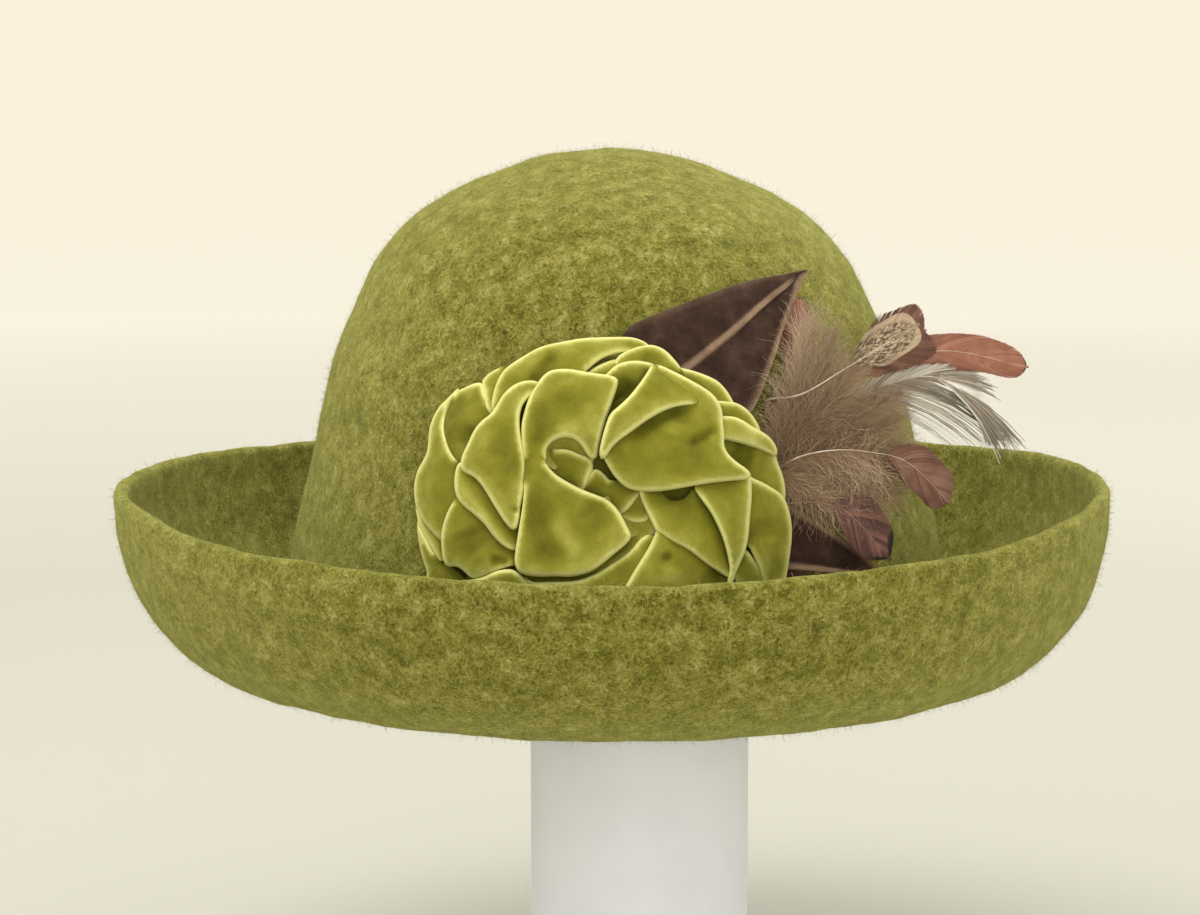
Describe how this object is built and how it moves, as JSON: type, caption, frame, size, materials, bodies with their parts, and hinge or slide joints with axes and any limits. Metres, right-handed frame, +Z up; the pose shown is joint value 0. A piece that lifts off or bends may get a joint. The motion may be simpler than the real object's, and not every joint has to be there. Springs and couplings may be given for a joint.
{
  "type": "cloche hat on display stand",
  "caption": "Thick wool felt hat with a bell crown and a deep upturned brim, trimmed with a velvet ribbon rosette, velvet leaves and feathers, resting on a plain round stand.",
  "frame": {"origin": "centre of the underside of the stand's base, on the surface that it stands on", "axes": "+Z up along the stand's post, +X to the hat's side where the feathers point, -Y to the front with the rosette"},
  "size_m": [0.3009, 0.2954, 0.2866],
  "materials": {
    "wool_felt": "thick fulled wool, olive green with lighter and darker flecks and a fuzzy surface",
    "rosette_velvet": "chartreuse velvet ribbon, bright on its folds and deep olive in its pockets",
    "leaf_velvet": "dark brown stiffened velvet with lighter taupe edges and ribs",
    "rust_feather": "rust feather with a pale quill and a dark tip",
    "mauve_feather": "brown mauve feather with downy barbs",
    "mottled_feather": "cream feather with dark mottling",
    "grey_feather": "grey white wispy plume",
    "taupe_down": "loose taupe down",
    "painted_stand": "turned wood, painted white, satin, with faint smudges"
  },
  "bodies": {
    "root": {"felt_hat": "wool_felt", "velvet_rosette": "rosette_velvet", "velvet_leaf_upper": "leaf_velvet", "velvet_leaf_lower": "leaf_velvet", "feather_rust_long": "rust_feather", "feather_rust_low": "rust_feather", "feather_rust_tip": "rust_feather", "feather_mauve_round": "mauve_feather", "feather_white_quill": "mauve_feather", "feather_mottled": "mottled_feather", "feather_grey_plume": "grey_feather", "down_tuft": "taupe_down", "stand_post": "painted_stand", "stand_base": "painted_stand"}
  },
  "joints": []
}
